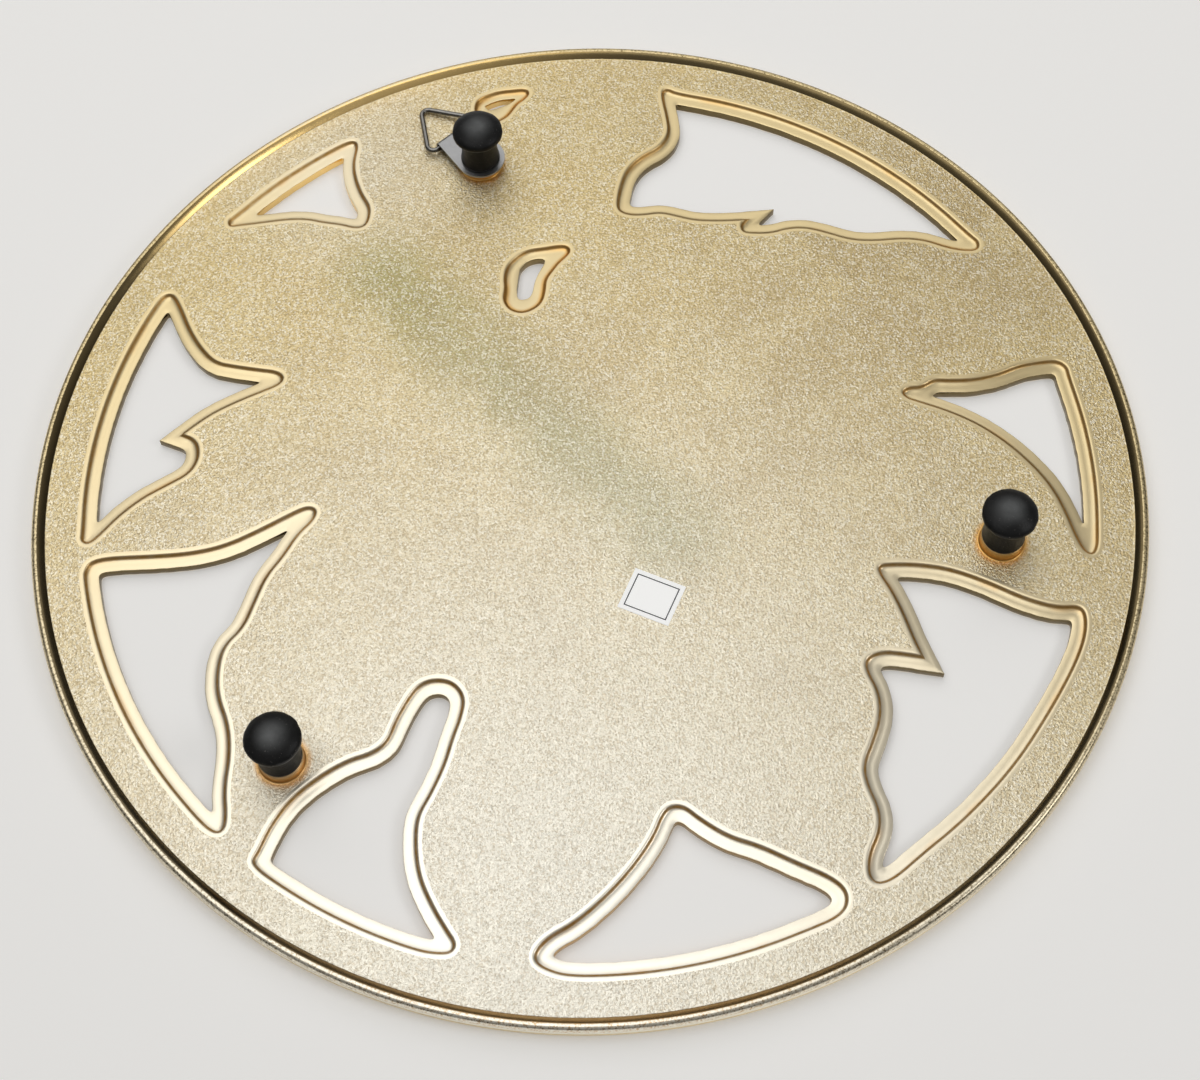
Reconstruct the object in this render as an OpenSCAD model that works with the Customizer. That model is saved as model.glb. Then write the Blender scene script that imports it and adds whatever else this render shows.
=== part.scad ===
// Round pierced trivet: one casting on three rubber feet, with a hanging ring under one of them.
// It stands on its feet: Z = 0 is the table, +Z is up and +Y is the side with the hanging ring.

/* [Plate] */
// Radius of the round plate
plate_r = 100; // [60:1:160]
// Thickness of the plate between its raised borders
plate_t = 2; // [1.4:0.1:4]
// Height of the plate's underside over the table
under_z = 12; // [8:0.5:20]

/* [Rim] */
// Width of the rim band round the edge
rim_w = 2.3; // [1:0.1:5]
// How far the rim hangs below the underside
rim_lip_h = 1.1; // [0.3:0.1:3]
// How far the rim stands above the top face
rim_bead_h = 0.6; // [0.2:0.1:2]
// Radius of the rim's rounded edges
rim_round_r = 0.8; // [0.3:0.1:1.5]

/* [Borders of the openings] */
// Depth of the step that surrounds each opening on the underside
step_h = 0.8; // [0.2:0.1:1.5]
// Width of the flat land between the step's wall and the hole
land_w = 2.3; // [0.8:0.1:4]
// Radius of the hole's corners
tip_r = 0.8; // [0.3:0.1:2]
// Width of the raised border on the top face
border_w = 3.5; // [2.5:0.1:6]

/* [Feet] */
// Distance of each foot's axis from the plate's edge
foot_inset = 25.6; // [20:0.1:32]
// Diameter of the rubber foot's head
head_d = 9.7; // [6:0.1:16]
// Height of the head's upright edge
head_edge_h = 1.1; // [0.4:0.1:3]
// Radius of the head's dome
dome_r = 7.8; // [5:0.1:20]
// Radius of the small flat that the dome rests on
rest_r = 1.4; // [0.4:0.1:3]
// Diameter of the stem below the head
stem_d = 6.7; // [4:0.1:12]
// Diameter of the stem's collar, which bears on the boss
collar_d = 7.6; // [5:0.1:14]
// Diameter of the cast boss
boss_d = 8.2; // [6:0.1:14]
// Height of the cast boss
boss_h = 2.2; // [1:0.1:4]
// Diameter of the cast peg inside the foot
peg_d = 4.5; // [3:0.1:6]
// Length of the cast peg
peg_l = 6.6; // [3:0.1:8]

/* [Hanger] */
// Thickness of the strap's sheet
strap_t = 0.4; // [0.3:0.05:1]
// Radius of the strap's round end
strap_r = 4.75; // [3:0.05:8]
// Distance from the foot's axis to the axis of the ring's wire
strap_l = 8; // [6:0.1:14]
// Width of the folded eye
eye_w = 7.8; // [4:0.1:12]
// Diameter of the ring's wire
wire_d = 1; // [0.6:0.1:2]
// Half the width of the ring's triangle at its base, before its corners are rounded
ring_half_w = 6.6; // [4:0.1:12]
// Height of the ring's triangle, before its corners are rounded
ring_h = 10.6; // [6:0.1:20]
// Radius of the bends in the ring's wire
bend_r = 1.3; // [0.8:0.1:3]

/* [Label] */
// Length of the paper label
label_l = 9.6; // [4:0.1:20]
// Width of the paper label
label_w = 8.2; // [4:0.1:20]
// Thickness of the paper label
label_t = 0.1; // [0.05:0.05:0.3]

/* [Hidden] */
$fn = 96;

// Gap of a running fit, on the radius
run_gap = 0.06;
// Gap between the resting ring and the plate
rest_gap = 0.15;
// How far a cutter runs past the face that it cuts
over = 0.5;
// How far a joined solid sinks into its neighbour
sink = 0.3;
// How far a straight wire runs into its bend, and how much the bend thins the wire
lap = 0.1;
bend_thin = 0.02;

// Turn of each foot's radius from +X
back_turn = 76;
left_turn = 193;
right_turn = 316;
// Turn of the hanging ring from +X
hanger_turn = 50;
// Place and turn of the label
label_x_share = -0.103;
label_y_share = -0.2435;
label_turn = 26;

top_z = under_z + plate_t;
land_z = under_z + step_h;
crest_z = top_z + rim_bead_h;
rim_in_r = plate_r - rim_w;
foot_ring_r = plate_r - foot_inset;
foot_h = under_z - boss_h;
strap_z = foot_h + run_gap;
eye_r = wire_d / 2 + run_gap;
wire_z = strap_z + strap_t + eye_r;

// The step's wall round each opening, counter-clockwise as seen from above, in shares of the
// plate's radius. Each point pulls a quadratic B-spline, and a point given twice makes a sharp corner.
// Most outlines close along the rim with an arc: its radius share, its two angles and its steps.
fin_a_arc = [0.9105, 43.6, 59.6, 4];
fin_a_shares = [
    [0.434, 0.798], [0.425, 0.784], [0.433, 0.745], [0.43, 0.708], [0.417, 0.665], [0.4, 0.634],
    [0.401, 0.606], [0.409, 0.587], [0.429, 0.584], [0.454, 0.594], [0.49, 0.601], [0.52, 0.611],
    [0.56, 0.613], [0.61, 0.608], [0.655, 0.604], [0.673, 0.602], [0.674, 0.616]
];
bud_b_shares = [
    [0.089, 0.907], [0.081, 0.896], [0.092, 0.882], [0.106, 0.872], [0.116, 0.856], [0.127, 0.84],
    [0.143, 0.83], [0.166, 0.821], [0.184, 0.829], [0.19, 0.852], [0.188, 0.877], [0.176, 0.89],
    [0.145, 0.903], [0.115, 0.905]
];
wing_c_arc = [0.903, 103.6, 146.8, 8];
wing_c_shares = [
    [-0.77, 0.48], [-0.767, 0.462], [-0.745, 0.46], [-0.71, 0.469], [-0.668, 0.49],
    [-0.625, 0.497], [-0.57, 0.494], [-0.525, 0.5], [-0.485, 0.518], [-0.445, 0.533],
    [-0.41, 0.534], [-0.375, 0.524], [-0.342, 0.526], [-0.322, 0.529], [-0.319, 0.546],
    [-0.331, 0.559], [-0.331, 0.559], [-0.31, 0.558], [-0.275, 0.559], [-0.23, 0.563],
    [-0.195, 0.576], [-0.165, 0.586], [-0.135, 0.582], [-0.107, 0.583], [-0.086, 0.593],
    [-0.083, 0.612], [-0.092, 0.654], [-0.106, 0.692], [-0.136, 0.723], [-0.173, 0.742],
    [-0.195, 0.776], [-0.192, 0.822], [-0.186, 0.865], [-0.187, 0.887], [-0.2, 0.889]
];
drop_d_shares = [
    [0.022, 0.492], [0.036, 0.479], [0.049, 0.461], [0.063, 0.44], [0.065, 0.413], [0.072, 0.388],
    [0.09, 0.373], [0.112, 0.367], [0.133, 0.377], [0.143, 0.398], [0.138, 0.424], [0.14, 0.448],
    [0.134, 0.475], [0.117, 0.495], [0.095, 0.51], [0.065, 0.513], [0.036, 0.517], [0.019, 0.516],
    [0.013, 0.504]
];
fin_e_arc = [0.909, -4, 28.4, 6];
fin_e_shares = [
    [0.786, 0.449], [0.772, 0.446], [0.756, 0.412], [0.738, 0.364], [0.713, 0.32], [0.686, 0.289],
    [0.65, 0.279], [0.605, 0.269], [0.568, 0.262], [0.556, 0.247], [0.566, 0.233], [0.595, 0.221],
    [0.64, 0.202], [0.685, 0.179], [0.718, 0.154], [0.74, 0.135], [0.74, 0.135], [0.72, 0.126],
    [0.709, 0.109], [0.708, 0.08], [0.723, 0.052], [0.76, 0.031], [0.805, 0.006], [0.846, -0.029],
    [0.879, -0.068], [0.896, -0.083], [0.909, -0.076]
];
wing_f_arc = [0.909, -41.3, -9.6, 6];
wing_f_shares = [
    [0.896, -0.134], [0.887, -0.119], [0.855, -0.113], [0.78, -0.114], [0.71, -0.112],
    [0.65, -0.1], [0.59, -0.072], [0.54, -0.045], [0.505, -0.028], [0.489, -0.036],
    [0.494, -0.056], [0.522, -0.084], [0.545, -0.125], [0.576, -0.166], [0.594, -0.215],
    [0.612, -0.264], [0.644, -0.296], [0.653, -0.34], [0.651, -0.39], [0.63, -0.445],
    [0.625, -0.5], [0.632, -0.56], [0.626, -0.616], [0.633, -0.638], [0.652, -0.634]
];
sail_g_arc = [0.906, -70, -52.4, 4];
sail_g_shares = [
    [0.572, -0.702], [0.58, -0.689], [0.57, -0.672], [0.553, -0.632], [0.522, -0.586],
    [0.475, -0.548], [0.425, -0.52], [0.385, -0.51], [0.358, -0.49], [0.345, -0.453],
    [0.322, -0.41], [0.302, -0.386], [0.275, -0.379], [0.245, -0.387], [0.227, -0.415],
    [0.233, -0.45], [0.249, -0.492], [0.261, -0.535], [0.286, -0.589], [0.308, -0.626],
    [0.311, -0.675], [0.305, -0.73], [0.283, -0.782], [0.26, -0.823], [0.246, -0.845],
    [0.254, -0.86], [0.28, -0.859]
];
sail_h_arc = [0.9085, -111.3, -85.8, 5];
sail_h_shares = [
    [0.103, -0.894], [0.12, -0.88], [0.118, -0.863], [0.096, -0.841], [0.055, -0.821],
    [0.005, -0.782], [-0.045, -0.731], [-0.082, -0.68], [-0.098, -0.643], [-0.113, -0.629],
    [-0.136, -0.631], [-0.16, -0.654], [-0.205, -0.687], [-0.255, -0.705], [-0.31, -0.736],
    [-0.364, -0.763], [-0.389, -0.786], [-0.389, -0.813], [-0.37, -0.832]
];
wing_i_shares = [
    [-0.505, -0.202], [-0.53, -0.201], [-0.575, -0.204], [-0.63, -0.216], [-0.69, -0.244],
    [-0.75, -0.28], [-0.805, -0.301], [-0.843, -0.3], [-0.852, -0.317], [-0.845, -0.356],
    [-0.823, -0.402], [-0.793, -0.45], [-0.753, -0.507], [-0.704, -0.571], [-0.648, -0.63],
    [-0.582, -0.688], [-0.518, -0.734], [-0.47, -0.772], [-0.44, -0.781], [-0.427, -0.764],
    [-0.433, -0.727], [-0.454, -0.69], [-0.457, -0.652], [-0.442, -0.61], [-0.439, -0.573],
    [-0.459, -0.533], [-0.477, -0.489], [-0.479, -0.443], [-0.462, -0.402], [-0.465, -0.378],
    [-0.495, -0.368], [-0.53, -0.374], [-0.561, -0.381], [-0.561, -0.381], [-0.549, -0.345],
    [-0.538, -0.3], [-0.522, -0.252], [-0.505, -0.218]
];
fin_j_arc = [0.9105, 169.3, 190.6, 4];
fin_j_shares = [
    [-0.892, -0.186], [-0.883, -0.202], [-0.869, -0.195], [-0.858, -0.164], [-0.848, -0.116],
    [-0.832, -0.065], [-0.805, -0.018], [-0.765, 0.032], [-0.718, 0.075], [-0.667, 0.106],
    [-0.618, 0.128], [-0.594, 0.138], [-0.585, 0.152], [-0.601, 0.161], [-0.624, 0.16], [-0.647, 0.175],
    [-0.67, 0.172], [-0.72, 0.17], [-0.77, 0.18], [-0.805, 0.195], [-0.845, 0.201],
    [-0.878, 0.203], [-0.895, 0.189]
];

// Points of a circular arc about a centre.
function arc(centre, r, from, to, steps) =
    [for (i = [0 : steps]) let (a = from + (to - from) * i / steps) centre + r * [cos(a), sin(a)]];

// Control points whose B-spline is the arc along the rim.
function rim_controls(a) =
    arc([0, 0], a[0] / cos((a[2] - a[1]) / a[3] / 2), a[1], a[2], a[3]);

// Closed quadratic B-spline through the midpoints of its control points.
function spline(p, steps) = [
    for (i = [0 : len(p) - 1])
        let (a = p[i], b = p[(i + 1) % len(p)], c = p[(i + 2) % len(p)])
        each (a == b ? [b] : b == c ? [(a + b) / 2] : [
            for (k = [0 : steps - 1])
                let (t = k / steps)
                (1 - t) * (1 - t) * (a + b) / 2 + 2 * t * (1 - t) * b + t * t * (b + c) / 2
        ])
];

// The ten openings' outlines.
OPENINGS = [
    for (s = [
        concat(rim_controls(fin_a_arc), fin_a_shares),
        bud_b_shares,
        concat(rim_controls(wing_c_arc), wing_c_shares),
        drop_d_shares,
        concat(rim_controls(fin_e_arc), fin_e_shares),
        concat(rim_controls(wing_f_arc), wing_f_shares),
        concat(rim_controls(sail_g_arc), sail_g_shares),
        concat(rim_controls(sail_h_arc), sail_h_shares),
        wing_i_shares,
        concat(rim_controls(fin_j_arc), fin_j_shares)
    ]) spline(plate_r * s, 3)
];

// Cutter for one opening: the stepped border on the underside and the hole right through.
module opening_cutter(p) {
    translate([0, 0, under_z - over])
        linear_extrude(step_h + over)
            polygon(p);
    translate([0, 0, under_z - over])
        linear_extrude(crest_z - under_z + 2 * over)
            offset(r = tip_r, $fn = 24)
                offset(delta = -land_w - tip_r)
                    polygon(p);
}

// Raised border on the top face round one opening.
module top_border(p) {
    translate([0, 0, top_z - sink])
        linear_extrude(rim_bead_h + sink)
            offset(r = border_w - land_w, $fn = 24)
                polygon(p);
}

// Disc of the plate, with the lip below its rim and the bead above it.
module plate_disc() {
    edge_r = plate_r - rim_round_r;
    lip_z = under_z - rim_lip_h + rim_round_r;
    bead_z = crest_z - rim_round_r;
    rotate_extrude($fn = 180)
        polygon(concat(
            [[0, under_z], [rim_in_r, under_z]],
            arc([edge_r, lip_z], rim_round_r, 220, 360, 7),
            arc([edge_r, bead_z], rim_round_r, 0, 140, 7),
            [[rim_in_r, top_z], [0, top_z]]
        ));
}

// Place on the foot circle, turned so that X points away from the plate's centre.
module at_foot(turn) {
    translate(foot_ring_r * [cos(turn), sin(turn)])
        rotate([0, 0, turn])
            children();
}

// Cast boss of a given height with the peg that holds the foot.
module boss_and_peg(h) {
    translate([0, 0, under_z - h])
        cylinder(h = h + sink, d = boss_d);
    translate([0, 0, foot_h - peg_l])
        cylinder(h = peg_l + boss_h + sink, d = peg_d);
}

module plate() {
    color("#c9b88a")
        difference() {
            union() {
                plate_disc();
                for (p = OPENINGS) top_border(p);
                at_foot(back_turn) boss_and_peg(boss_h - strap_t - 2 * run_gap);
                at_foot(left_turn) boss_and_peg(boss_h);
                at_foot(right_turn) boss_and_peg(boss_h);
            }
            for (p = OPENINGS) opening_cutter(p);
        }
}

// Rubber foot: domed head, waisted stem and collar, with the blind bore for the peg.
module rubber_foot() {
    dome_z = sqrt(dome_r * dome_r - rest_r * rest_r);
    edge_z = dome_z - sqrt(dome_r * dome_r - head_d * head_d / 4);
    head_z = edge_z + head_edge_h;
    difference() {
        rotate_extrude()
            polygon(concat(
                [[0, 0]],
                arc([0, dome_z], dome_r, asin(rest_r / dome_r) - 90, asin(head_d / 2 / dome_r) - 90, 8),
                [
                    [head_d / 2, head_z],
                    [stem_d / 2, head_z + head_edge_h / 3],
                    [(stem_d + collar_d) / 4, foot_h - head_edge_h * 2],
                    [collar_d / 2, foot_h - head_edge_h / 2],
                    [collar_d / 2, foot_h],
                    [0, foot_h]
                ]
            ));
        translate([0, 0, foot_h - peg_l])
            cylinder(h = peg_l + over, d = peg_d);
    }
}

module foot_back() {
    color("#1c1c1c") at_foot(back_turn) rubber_foot();
}

module foot_left() {
    color("#1c1c1c") at_foot(left_turn) rubber_foot();
}

module foot_right() {
    color("#1c1c1c") at_foot(right_turn) rubber_foot();
}

// Place of the hanger: Z along the back foot's axis, X towards the hanging ring.
module at_hanger() {
    translate(foot_ring_r * [cos(back_turn), sin(back_turn)])
        rotate([0, 0, hanger_turn])
            children();
}

// Sheet strap: round end with the hole for the peg, straight taper, and the end folded into an eye.
module hanger_strap() {
    reach = norm([strap_l, eye_w / 2]);
    tangent_turn = atan2(eye_w / 2, strap_l) + acos(strap_r / reach);
    color("#b4b4b0")
        at_hanger() {
            translate([0, 0, strap_z])
                linear_extrude(strap_t)
                    difference() {
                        union() {
                            circle(r = strap_r);
                            polygon([
                                strap_r * [cos(tangent_turn), -sin(tangent_turn)],
                                [strap_l, -eye_w / 2],
                                [strap_l, eye_w / 2],
                                strap_r * [cos(tangent_turn), sin(tangent_turn)],
                                [0, 0]
                            ]);
                        }
                        circle(r = peg_d / 2 + run_gap);
                    }
            translate([strap_l, eye_w / 2, wire_z])
                rotate([90, 0, 0])
                    rotate([0, 0, -90])
                        rotate_extrude(angle = 250)
                            translate([eye_r, 0])
                                square([strap_t, eye_w]);
        }
}

// One straight length of wire from a to b.
module wire(a, b) {
    translate(a)
        rotate([0, 0, atan2(b[1] - a[1], b[0] - a[0])])
            rotate([0, 90, 0])
                translate([0, 0, -lap])
                    cylinder(h = norm(b - a) + 2 * lap, d = wire_d);
}

// One bend of the wire about a centre.
module bend(centre, from, turn) {
    translate(centre)
        rotate([0, 0, from])
            rotate_extrude(angle = turn)
                translate([bend_r, 0])
                    circle(d = wire_d - bend_thin);
}

// Half the angle of the ring's outer corner, and the centres of its bends.
half_apex = atan(ring_half_w / ring_h);
base_p = [bend_r, ring_half_w - bend_r / tan((90 - half_apex) / 2)];
apex_p = [ring_h - bend_r / sin(half_apex), 0];
// Tilt that lays the outer bend against the plate's underside
ring_tilt = asin((under_z - rest_gap - wire_d / 2 - wire_z) / (apex_p[0] + bend_r));

// One side of the ring: the bend at the end of the base and the leg to the outer bend.
module ring_side() {
    leg = bend_r * [sin(half_apex), cos(half_apex)];
    bend(base_p, 90 - half_apex, 90 + half_apex);
    wire(base_p + leg, apex_p + leg);
}

// Triangle of wire whose base runs through the strap's eye.
module hanger_ring() {
    color("#8c8c88")
        at_hanger()
            translate([strap_l, 0, wire_z])
                rotate([0, -ring_tilt, 0]) {
                    wire([0, -base_p[1]], [0, base_p[1]]);
                    ring_side();
                    mirror([0, 1, 0]) ring_side();
                    bend(apex_p, half_apex - 90, 180 - 2 * half_apex);
                }
}

module paper_label() {
    color("#f2f0ea")
        translate([label_x_share * plate_r, label_y_share * plate_r, under_z - label_t / 2])
            rotate([0, 0, label_turn])
                cube([label_l, label_w, label_t], center = true);
}

plate();
foot_back();
foot_left();
foot_right();
hanger_strap();
hanger_ring();
paper_label();
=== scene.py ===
# %% [markdown]
# A round pierced trivet, seen from below: one thin casting with ten openings, three rubber feet
# pushed on cast pegs, a sheet strap with a hanging ring under one foot, and a small paper label.
# The solids come in first and stay as they are. Everything modelled here sits on them, in metres.

# %% Load the solids and measure them
import math

import bmesh
import bpy
import numpy as np
from mathutils import Matrix, Vector, noise
from mathutils.geometry import delaunay_2d_cdt


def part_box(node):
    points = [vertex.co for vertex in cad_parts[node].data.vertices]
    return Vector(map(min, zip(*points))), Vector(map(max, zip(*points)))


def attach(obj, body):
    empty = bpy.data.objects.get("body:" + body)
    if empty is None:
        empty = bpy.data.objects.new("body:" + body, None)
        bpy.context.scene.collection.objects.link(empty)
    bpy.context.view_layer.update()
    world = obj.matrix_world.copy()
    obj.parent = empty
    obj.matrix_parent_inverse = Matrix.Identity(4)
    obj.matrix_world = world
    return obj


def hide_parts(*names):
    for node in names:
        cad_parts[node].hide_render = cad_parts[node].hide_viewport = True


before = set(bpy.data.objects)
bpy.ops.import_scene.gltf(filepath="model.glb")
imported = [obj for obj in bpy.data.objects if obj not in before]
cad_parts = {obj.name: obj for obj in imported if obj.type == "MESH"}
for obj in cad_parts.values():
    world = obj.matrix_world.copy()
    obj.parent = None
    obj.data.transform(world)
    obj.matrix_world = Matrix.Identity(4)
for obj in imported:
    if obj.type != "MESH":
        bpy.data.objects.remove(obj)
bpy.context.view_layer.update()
MM = 0.001
plate_low, plate_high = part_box("plate")
PLATE_R = (plate_high.x - plate_low.x) / 2
CREST_Z = plate_high.z

# %% [markdown]
# The heights of the casting are few: the underside, the land inside each stepped border, the top
# face and the crest of its raised borders. All the other heights follow from the feet.

# %% Name the heights and the feet
UNDER_Z = 12 * MM
LAND_Z = 12.8 * MM
TOP_Z = 14 * MM
BOSS_H = 2.2 * MM
FOOT_H = UNDER_Z - BOSS_H
PEG_R = 2.25 * MM
PEG_L = 6.6 * MM
FEET = {"foot_back": 76, "foot_left": 193, "foot_right": 316}
FOOT_RING_R = PLATE_R - 25.6 * MM


def foot_place(name):
    turn = math.radians(FEET[name])
    return Vector((FOOT_RING_R * math.cos(turn), FOOT_RING_R * math.sin(turn), 0))


print({name: [round(v / MM, 1) for v in foot_place(name)] for name in FEET})

# %% [markdown]
# The photograph looks down on the trivet lying on its top face, so in the part's own frame, where
# it stands on its feet, the camera looks up from below. It could be placed by eye, but its place and
# tilt were solved from the round rim and the three feet instead, so that every edge can be laid over
# the photograph. A 60 mm lens on a 36 mm sensor gives the same perspective.

# %% Set the camera
CAMERA_AT = Vector((-1.75, -177.27, -302.44)) * MM
CAMERA_TILT = math.radians(27.636)
CAMERA_ROLL = math.radians(-2.795)
CAMERA_LENS = 60


def add_camera():
    level = Vector((-1, 0, 0))
    rise = Vector((0, math.cos(CAMERA_TILT), -math.sin(CAMERA_TILT)))
    right = math.cos(CAMERA_ROLL) * level + math.sin(CAMERA_ROLL) * rise
    up = math.cos(CAMERA_ROLL) * rise - math.sin(CAMERA_ROLL) * level
    turn = Matrix((right, up, right.cross(up))).transposed()
    bpy.ops.object.camera_add(location=CAMERA_AT, rotation=turn.to_euler())
    camera = bpy.context.object
    camera.data.lens = CAMERA_LENS
    camera.data.clip_start = 10 * MM
    camera.data.clip_end = 20
    bpy.context.scene.camera = camera
    return camera


camera = add_camera()
print(camera.name, "looks up", round(90 - math.degrees(CAMERA_TILT), 1), "degrees from the table")

# %% [markdown]
# Finishes could be wired by hand in the Shader Editor, but as sums they are shorter to read. The
# first class below holds one socket of a material, and adding or multiplying two of them adds the
# Math node that does it. The second holds a material, and one method makes every other node: it
# takes the node's type, its settings, and the values or links of its sockets.


# %% Write shader maths as plain expressions
class Wire:
    def __init__(self, tree, socket):
        self.tree = tree
        self.socket = socket

    def math(self, operation, *values, clamp=False):
        node = self.tree.nodes.new("ShaderNodeMath")
        node.operation = operation
        node.use_clamp = clamp
        for slot, value in zip(node.inputs, values):
            if isinstance(value, Wire):
                self.tree.links.new(value.socket, slot)
            else:
                slot.default_value = value
        return Wire(self.tree, node.outputs[0])

    def __add__(self, other):
        return self.math("ADD", self, other)

    def __radd__(self, other):
        return self.math("ADD", other, self)

    def __sub__(self, other):
        return self.math("SUBTRACT", self, other)

    def __rsub__(self, other):
        return self.math("SUBTRACT", other, self)

    def __mul__(self, other):
        return self.math("MULTIPLY", self, other)

    def __rmul__(self, other):
        return self.math("MULTIPLY", other, self)

    def __truediv__(self, other):
        return self.math("DIVIDE", self, other)

    def clamped(self):
        return self.math("ADD", self, 0.0, clamp=True)

    def ramp(self, low, high):
        """0 below low and 1 above high, smooth between them."""
        node = self.tree.nodes.new("ShaderNodeMapRange")
        node.interpolation_type = "SMOOTHSTEP"
        self.tree.links.new(self.socket, node.inputs["Value"])
        node.inputs["From Min"].default_value = low
        node.inputs["From Max"].default_value = high
        return Wire(self.tree, node.outputs[0])


class Finish:
    def __init__(self, name, **constants):
        self.material = bpy.data.materials.new(name)
        self.material.use_nodes = True
        self.tree = self.material.node_tree
        self.shader = self.tree.nodes["Principled BSDF"]
        self.place = self.node("ShaderNodeTexCoord", {}, {}, "Object")
        for socket, value in constants.items():
            self.shader.inputs[socket.replace("_", " ")].default_value = value

    def node(self, kind, settings, sockets, output=0):
        node = self.tree.nodes.new(kind)
        for key, value in settings.items():
            setattr(node, key, value)
        for key, value in sockets.items():
            if isinstance(value, Wire):
                self.tree.links.new(value.socket, node.inputs[key])
            else:
                node.inputs[key].default_value = value
        return Wire(self.tree, node.outputs[output])

    def noise(self, size, detail=2.0, roughness=0.5):
        """Smooth noise whose lumps are about that many metres across."""
        values = {"Vector": self.place, "Scale": 1 / size, "Detail": detail, "Roughness": roughness}
        return self.node("ShaderNodeTexNoise", {}, values)

    def mix(self, factor, first, second):
        """Blend of two colours."""
        values = {0: factor, 6: first, 7: second}
        return self.node("ShaderNodeMix", {"data_type": "RGBA"}, values, 2)

    def attribute(self, name):
        return self.node("ShaderNodeAttribute", {"attribute_name": name}, {}, "Fac")

    def bump(self, height, depth):
        """Normal of a surface whose height of 1 stands that many metres up."""
        return self.node("ShaderNodeBump", {}, {"Height": height, "Distance": depth, "Strength": 1.0})

    def feed(self, **sockets):
        for socket, wire in sockets.items():
            self.tree.links.new(wire.socket, self.shader.inputs[socket.replace("_", " ")])


print("shader helpers ready")

# %% [markdown]
# The stage needs a trick, because the part stands on its feet while the photograph shows its
# underside. Two pale sheets serve as the floor. One lies under the feet and shows only from above.
# The other lies against the top face and shows only from below, where the photograph has its
# table. Each is seen by the camera from its own side alone and lets every other ray through.

# %% Lay the two one-sided floors
FLOOR_SIZE = 6
FLOOR_COLOUR = (0.86, 0.85, 0.83, 1)
FLOOR_LIFT = 0.2
FLOOR_GAP = 0.02 * MM


def floor_material(name, sees_gloss):
    finish = Finish(name, Base_Color=FLOOR_COLOUR, Roughness=0.9)
    finish.shader.inputs["Emission Color"].default_value = FLOOR_COLOUR
    finish.shader.inputs["Emission Strength"].default_value = FLOOR_LIFT
    tree = finish.tree
    camera_ray = finish.node("ShaderNodeLightPath", {}, {}, "Is Camera Ray")
    gloss_ray = finish.node("ShaderNodeLightPath", {}, {}, "Is Glossy Ray")
    back = finish.node("ShaderNodeNewGeometry", {}, {}, "Backfacing")
    seen = (camera_ray + gloss_ray * sees_gloss).clamped() * (1 - back)
    clear = tree.nodes.new("ShaderNodeBsdfTransparent")
    blend = tree.nodes.new("ShaderNodeMixShader")
    tree.links.new(seen.socket, blend.inputs[0])
    tree.links.new(clear.outputs[0], blend.inputs[1])
    tree.links.new(finish.shader.outputs[0], blend.inputs[2])
    tree.links.new(blend.outputs[0], tree.nodes["Material Output"].inputs["Surface"])
    return finish.material


def lay_floor(name, height, faces_down, sees_gloss):
    bpy.ops.object.select_all(action="DESELECT")
    bpy.ops.mesh.primitive_plane_add(size=FLOOR_SIZE, location=(0, 0, height))
    sheet = bpy.context.object
    sheet.name = name
    if faces_down:
        bpy.ops.object.mode_set(mode="EDIT")
        bpy.ops.mesh.flip_normals()
        bpy.ops.object.mode_set(mode="OBJECT")
    sheet.data.materials.append(floor_material(name, sees_gloss))
    return sheet


floors = [
    lay_floor("floor_under_feet", 0, False, 0),
    lay_floor("table_under_top_face", CREST_Z + FLOOR_GAP, True, 1),
]
print("floors", [floor.name for floor in floors])

# %% [markdown]
# Satin metal shows what stands around it, so the light matters as much as the colour. A soft lamp
# hangs below the trivet, on the photograph's side, where it puts the glare low on the plate. A wide
# one further off lights the lands on the near side, and a small one at the side lights the edges.
# Two more hang above for the other views.


# %% Hang the lamps
def add_lamp(name, place, size, power, height=0):
    turn = Vector(place).to_track_quat("Z", "Y").to_euler()
    bpy.ops.object.light_add(type="AREA", location=place, rotation=turn)
    lamp = bpy.context.object
    lamp.name = name
    lamp.data.shape = "ELLIPSE"
    lamp.data.size = size
    lamp.data.size_y = height or size
    lamp.data.energy = power
    return lamp


lamps = [
    add_lamp("lamp_below", (0.13, 0.06, -0.62), 0.66, 1.4),
    add_lamp("lamp_below_far", (0.05, 0.75, -0.62), 1.5, 1.9, 0.6),
    add_lamp("lamp_below_side", (-0.6, -0.2, -0.5), 0.3, 0.8),
    add_lamp("lamp_above", (-0.3, -0.35, 0.75), 0.6, 1.7),
    add_lamp("lamp_above_side", (0.6, 0.3, 0.5), 0.4, 0.7),
]
print("lamps", {lamp.name: round(lamp.data.energy, 2) for lamp in lamps})

# %% [markdown]
# The world fills in what the lamps leave. It could be one even grey, but polished metal would mirror
# that as fog. Lighter above than below and dark all round, it gives the steep walls their dark lines.
# Rays from the camera see a plain pale backdrop instead.

# %% Light the room
WORLD_BELOW = 0.24
WORLD_ABOVE = 0.55
SHOWN_LEVEL = 0.76
HORIZON_LEVEL = 0.08
ROOM_WHITE = (1, 0.99, 0.97, 1)


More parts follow.
